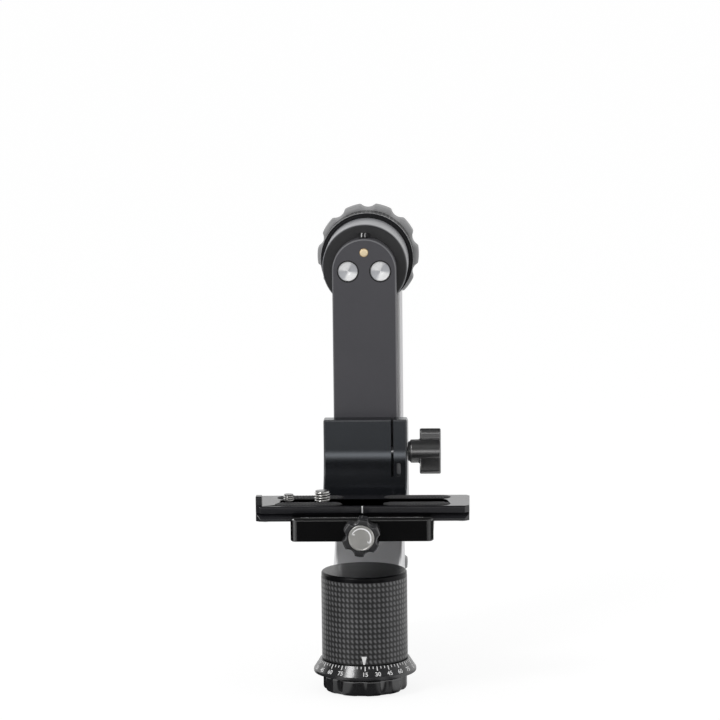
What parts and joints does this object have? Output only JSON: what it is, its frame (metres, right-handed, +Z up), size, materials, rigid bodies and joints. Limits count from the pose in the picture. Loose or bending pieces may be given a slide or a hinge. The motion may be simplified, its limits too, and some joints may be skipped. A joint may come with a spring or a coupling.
{
  "type": "gimbal head",
  "caption": "Tripod gimbal head with a pan base, an upright, a swing arm and a quick release clamp that holds a slotted camera plate.",
  "frame": {"origin": "centre of the tripod thread at the face that stands on the tripod, on the pan axis", "axes": "+Z up along the pan axis, +Y from the clamp back to the upright, +X to the right seen from the clamp's knob, which is the wing knob's side"},
  "size_m": [0.127, 0.1956, 0.2785],
  "materials": {
    "black_metal": "black hard coat, satin to glossy",
    "charcoal_metal": "charcoal coat, matte",
    "grey_metal": "fine grey powder coat",
    "drum_metal": "dark brown-grey turned finish",
    "silver_metal": "bright turned",
    "steel": "turned, bright",
    "brass": "turned",
    "carbon": "woven carbon under clear coat",
    "rubber": "moulded, matte",
    "friction_pad": "plain"
  },
  "bodies": {
    "base": {"base_core": "charcoal_metal", "thread_insert": "steel", "degree_ring": "charcoal_metal", "push_pins": "steel", "brake_ring": "friction_pad", "spindle_nut": "steel", "pan_inner_races": "steel", "pan_balls": "steel"},
    "pan_lock": {"lock_ring": "charcoal_metal", "lock_ring_grip": "rubber"},
    "pan": {"pan_housing": "charcoal_metal", "carbon_sleeve": "carbon", "base_cap": "black_metal", "pan_outer_races": "steel", "upright": "grey_metal", "foot_screws": "steel", "brake_shoe": "brass", "drag_rod": "steel", "tilt_stub": "silver_metal", "stub_screws": "steel", "tilt_inner_races": "steel", "tilt_balls": "steel", "friction_ring": "friction_pad", "thrust_washer": "steel", "spring_washers": "steel"},
    "drag_knob": {"drag_knob_hub": "charcoal_metal", "drag_knob_grip": "rubber"},
    "tilt_knob": {"tilt_knob_hub": "charcoal_metal", "tilt_knob_grip": "rubber", "tilt_knob_cap": "silver_metal"},
    "swing": {"tilt_drum": "drum_metal", "tilt_axle": "steel", "tilt_outer_races": "steel", "swing_arm": "charcoal_metal", "arm_screws": "steel", "locating_pin": "brass", "arm_stop_screw": "steel"},
    "slide_block": {"carriage": "black_metal", "slide_liners": "friction_pad", "relief_pin": "steel", "clamp_base": "black_metal", "clamp_screws": "steel", "jaw_guide_pins": "steel"},
    "wing": {"wing_knob": "black_metal", "wing_knob_screw": "steel"},
    "jaw": {"clamp_jaw": "black_metal"},
    "clamp_knob": {"clamp_knob_grip": "black_metal", "clamp_knob_disc": "silver_metal", "clamp_knob_screw": "steel"},
    "camera_plate": {"plate": "black_metal", "plate_pads": "rubber", "plate_lip": "black_metal", "plate_stop_screws": "steel"},
    "large_guide": {"large_screw_washer": "steel"},
    "large_screw": {"large_camera_screw": "steel"},
    "small_guide": {"small_screw_washer": "steel"},
    "small_screw": {"small_camera_screw": "steel"}
  },
  "joints": [
    {"name": "pan_turn", "type": "hinge", "parent": "base", "child": "pan", "pos_m": [0, 0, 0.04], "axis": [0, 0, 1], "continuous": true},
    {"name": "pan_lock_turn", "type": "hinge", "parent": "base", "child": "pan_lock", "pos_m": [0, 0, 0.0058], "axis": [0, 0, 1], "range_deg": [0, 90]},
    {"name": "drag_knob_turn", "type": "hinge", "parent": "pan", "child": "drag_knob", "pos_m": [0, 0.138, 0.0501], "axis": [0, 1, 0], "range_deg": [-180, 90]},
    {"name": "tilt_turn", "type": "hinge", "parent": "pan", "child": "swing", "pos_m": [0, 0.09, 0.247], "axis": [0, 1, 0], "continuous": true},
    {"name": "tilt_knob_turn", "type": "hinge", "parent": "swing", "child": "tilt_knob", "pos_m": [0, 0.142, 0.247], "axis": [0, 1, 0], "range_deg": [-270, 90]},
    {"name": "carriage_slide", "type": "slide", "parent": "swing", "child": "slide_block", "axis": [0, 0, 1], "range_m": [0, 0.05]},
    {"name": "wing_knob_turn", "type": "hinge", "parent": "slide_block", "child": "wing", "pos_m": [0.03, 0.052, 0.136], "axis": [1, 0, 0], "range_deg": [-90, 360]},
    {"name": "jaw_slide", "type": "slide", "parent": "slide_block", "child": "jaw", "axis": [0, 1, 0], "range_m": [-0.0034, 0]},
    {"name": "clamp_knob_turn", "type": "hinge", "parent": "jaw", "child": "clamp_knob", "pos_m": [0, -0.038, 0.10025], "axis": [0, 1, 0], "range_deg": [-1000, 0]},
    {"name": "plate_slide", "type": "slide", "parent": "slide_block", "child": "camera_plate", "axis": [1, 0, 0], "range_m": [-0.013, 0.013]},
    {"name": "large_screw_slide", "type": "slide", "parent": "camera_plate", "child": "large_guide", "axis": [1, 0, 0], "range_m": [-0.0018, 0.069]},
    {"name": "large_screw_turn", "type": "hinge", "parent": "large_guide", "child": "large_screw", "pos_m": [-0.0245, 0, 0.109], "axis": [0, 0, 1], "continuous": true},
    {"name": "small_screw_slide", "type": "slide", "parent": "camera_plate", "child": "small_guide", "axis": [1, 0, 0], "range_m": [-0.0004, 0.0018]},
    {"name": "small_screw_turn", "type": "hinge", "parent": "small_guide", "child": "small_screw", "pos_m": [-0.0446, 0, 0.109], "axis": [0, 0, 1], "continuous": true}
  ],
  "couplings": [
    {"joint": "clamp_knob_turn", "follows": "jaw_slide", "rad_per_m": 5026.5}
  ]
}
